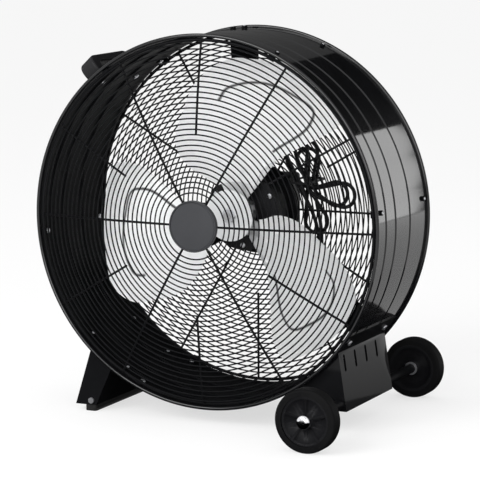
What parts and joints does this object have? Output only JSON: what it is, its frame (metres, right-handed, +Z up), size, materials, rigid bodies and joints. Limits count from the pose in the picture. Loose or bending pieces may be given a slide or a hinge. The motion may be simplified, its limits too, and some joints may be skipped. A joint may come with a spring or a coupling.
{
  "type": "drum fan",
  "caption": "Portable drum fan with wire guards, sheet-metal blades, a carrying handle, a rubber foot, wheels on one axle and a rear speed knob.",
  "frame": {"origin": "on the floor, under the middle of the drum", "axes": "+X to the right seen from the front, +Y to the rear along the drum axis, +Z up"},
  "size_m": [0.6599, 0.5374, 0.6853],
  "materials": {
    "black_steel": "satin black powder coat",
    "guard_wire": "black powder-coated steel wire",
    "badge": "slate grey, bare",
    "blade_aluminium": "bright mill-finished sheet",
    "spider_steel": "zinc-plated pressed steel",
    "zinc": "zinc-plated fasteners",
    "steel": "ground steel",
    "laminations": "stacked steel laminations",
    "copper": "enamelled copper wire",
    "motor_paint": "black painted aluminium casting",
    "black_plastic": "moulded black plastic",
    "knob_plastic": "moulded black plastic",
    "wheel_plastic": "moulded black plastic",
    "tyre_rubber": "solid black rubber",
    "rail_rubber": "black rubber",
    "cord_sheath": "black flexible sheath",
    "chrome": "polished chrome",
    "capacitor_can": "drawn aluminium can"
  },
  "bodies": {
    "root": {"drum_shell": "black_steel", "front_guard": "guard_wire", "rear_guard": "guard_wire", "hub_badge": "badge", "badge_clamp": "black_steel", "badge_screw": "zinc", "guard_clips": "black_steel", "guard_screws": "zinc", "guard_nuts": "black_steel", "motor_housing": "motor_paint", "motor_front_bell": "motor_paint", "motor_rear_bell": "motor_paint", "motor_bolts": "zinc", "stator_core": "laminations", "stator_windings": "copper", "motor_bearings": "steel", "motor_plate": "black_steel", "motor_arm_top": "black_steel", "motor_arm_left": "black_steel", "motor_arm_right": "black_steel", "arm_bolts": "zinc", "frame_screws": "zinc", "frame_nuts": "black_steel", "end_plate_bolts": "zinc", "box_neck": "black_steel", "control_box": "black_plastic", "box_cover": "black_plastic", "box_screws": "zinc", "run_capacitor": "capacitor_can", "speed_switch": "black_plastic", "cord_gland": "black_plastic", "power_cord": "cord_sheath", "cord_hank": "cord_sheath", "cord_tail": "cord_sheath", "cord_tie": "black_plastic", "power_plug": "black_plastic", "handle_grip": "black_plastic", "handle_seats": "black_plastic", "handle_screws": "zinc", "foot_bracket": "black_steel", "foot_rail": "rail_rubber", "wheel_bracket": "black_steel", "axle": "steel", "axle_spacers": "black_steel", "axle_washers": "zinc", "cap_nuts": "chrome"},
    "fan": {"motor_shaft": "steel", "rotor_core": "laminations", "blade_spider": "spider_steel", "blade_upper": "blade_aluminium", "blade_left": "blade_aluminium", "blade_right": "blade_aluminium", "blade_rivets": "blade_aluminium", "hub_fasteners": "zinc"},
    "front_wheel": {"front_wheel_rim": "wheel_plastic", "front_wheel_tyre": "tyre_rubber"},
    "rear_wheel": {"rear_wheel_rim": "wheel_plastic", "rear_wheel_tyre": "tyre_rubber"},
    "knob": {"speed_knob": "knob_plastic"}
  },
  "joints": [
    {"name": "fan_spin", "type": "hinge", "parent": "root", "child": "fan", "pos_m": [0, 0.0145, 0.355], "axis": [0, 1, 0], "continuous": true},
    {"name": "front_wheel_spin", "type": "hinge", "parent": "root", "child": "front_wheel", "pos_m": [0.25283, -0.2445, 0.055], "axis": [0, 1, 0], "continuous": true},
    {"name": "rear_wheel_spin", "type": "hinge", "parent": "root", "child": "rear_wheel", "pos_m": [0.25283, 0.2445, 0.055], "axis": [0, 1, 0], "continuous": true},
    {"name": "speed_knob_turn", "type": "hinge", "parent": "root", "child": "knob", "pos_m": [0.018, 0.19, 0.363], "axis": [0, -1, 0], "range_deg": [0, 135]}
  ]
}
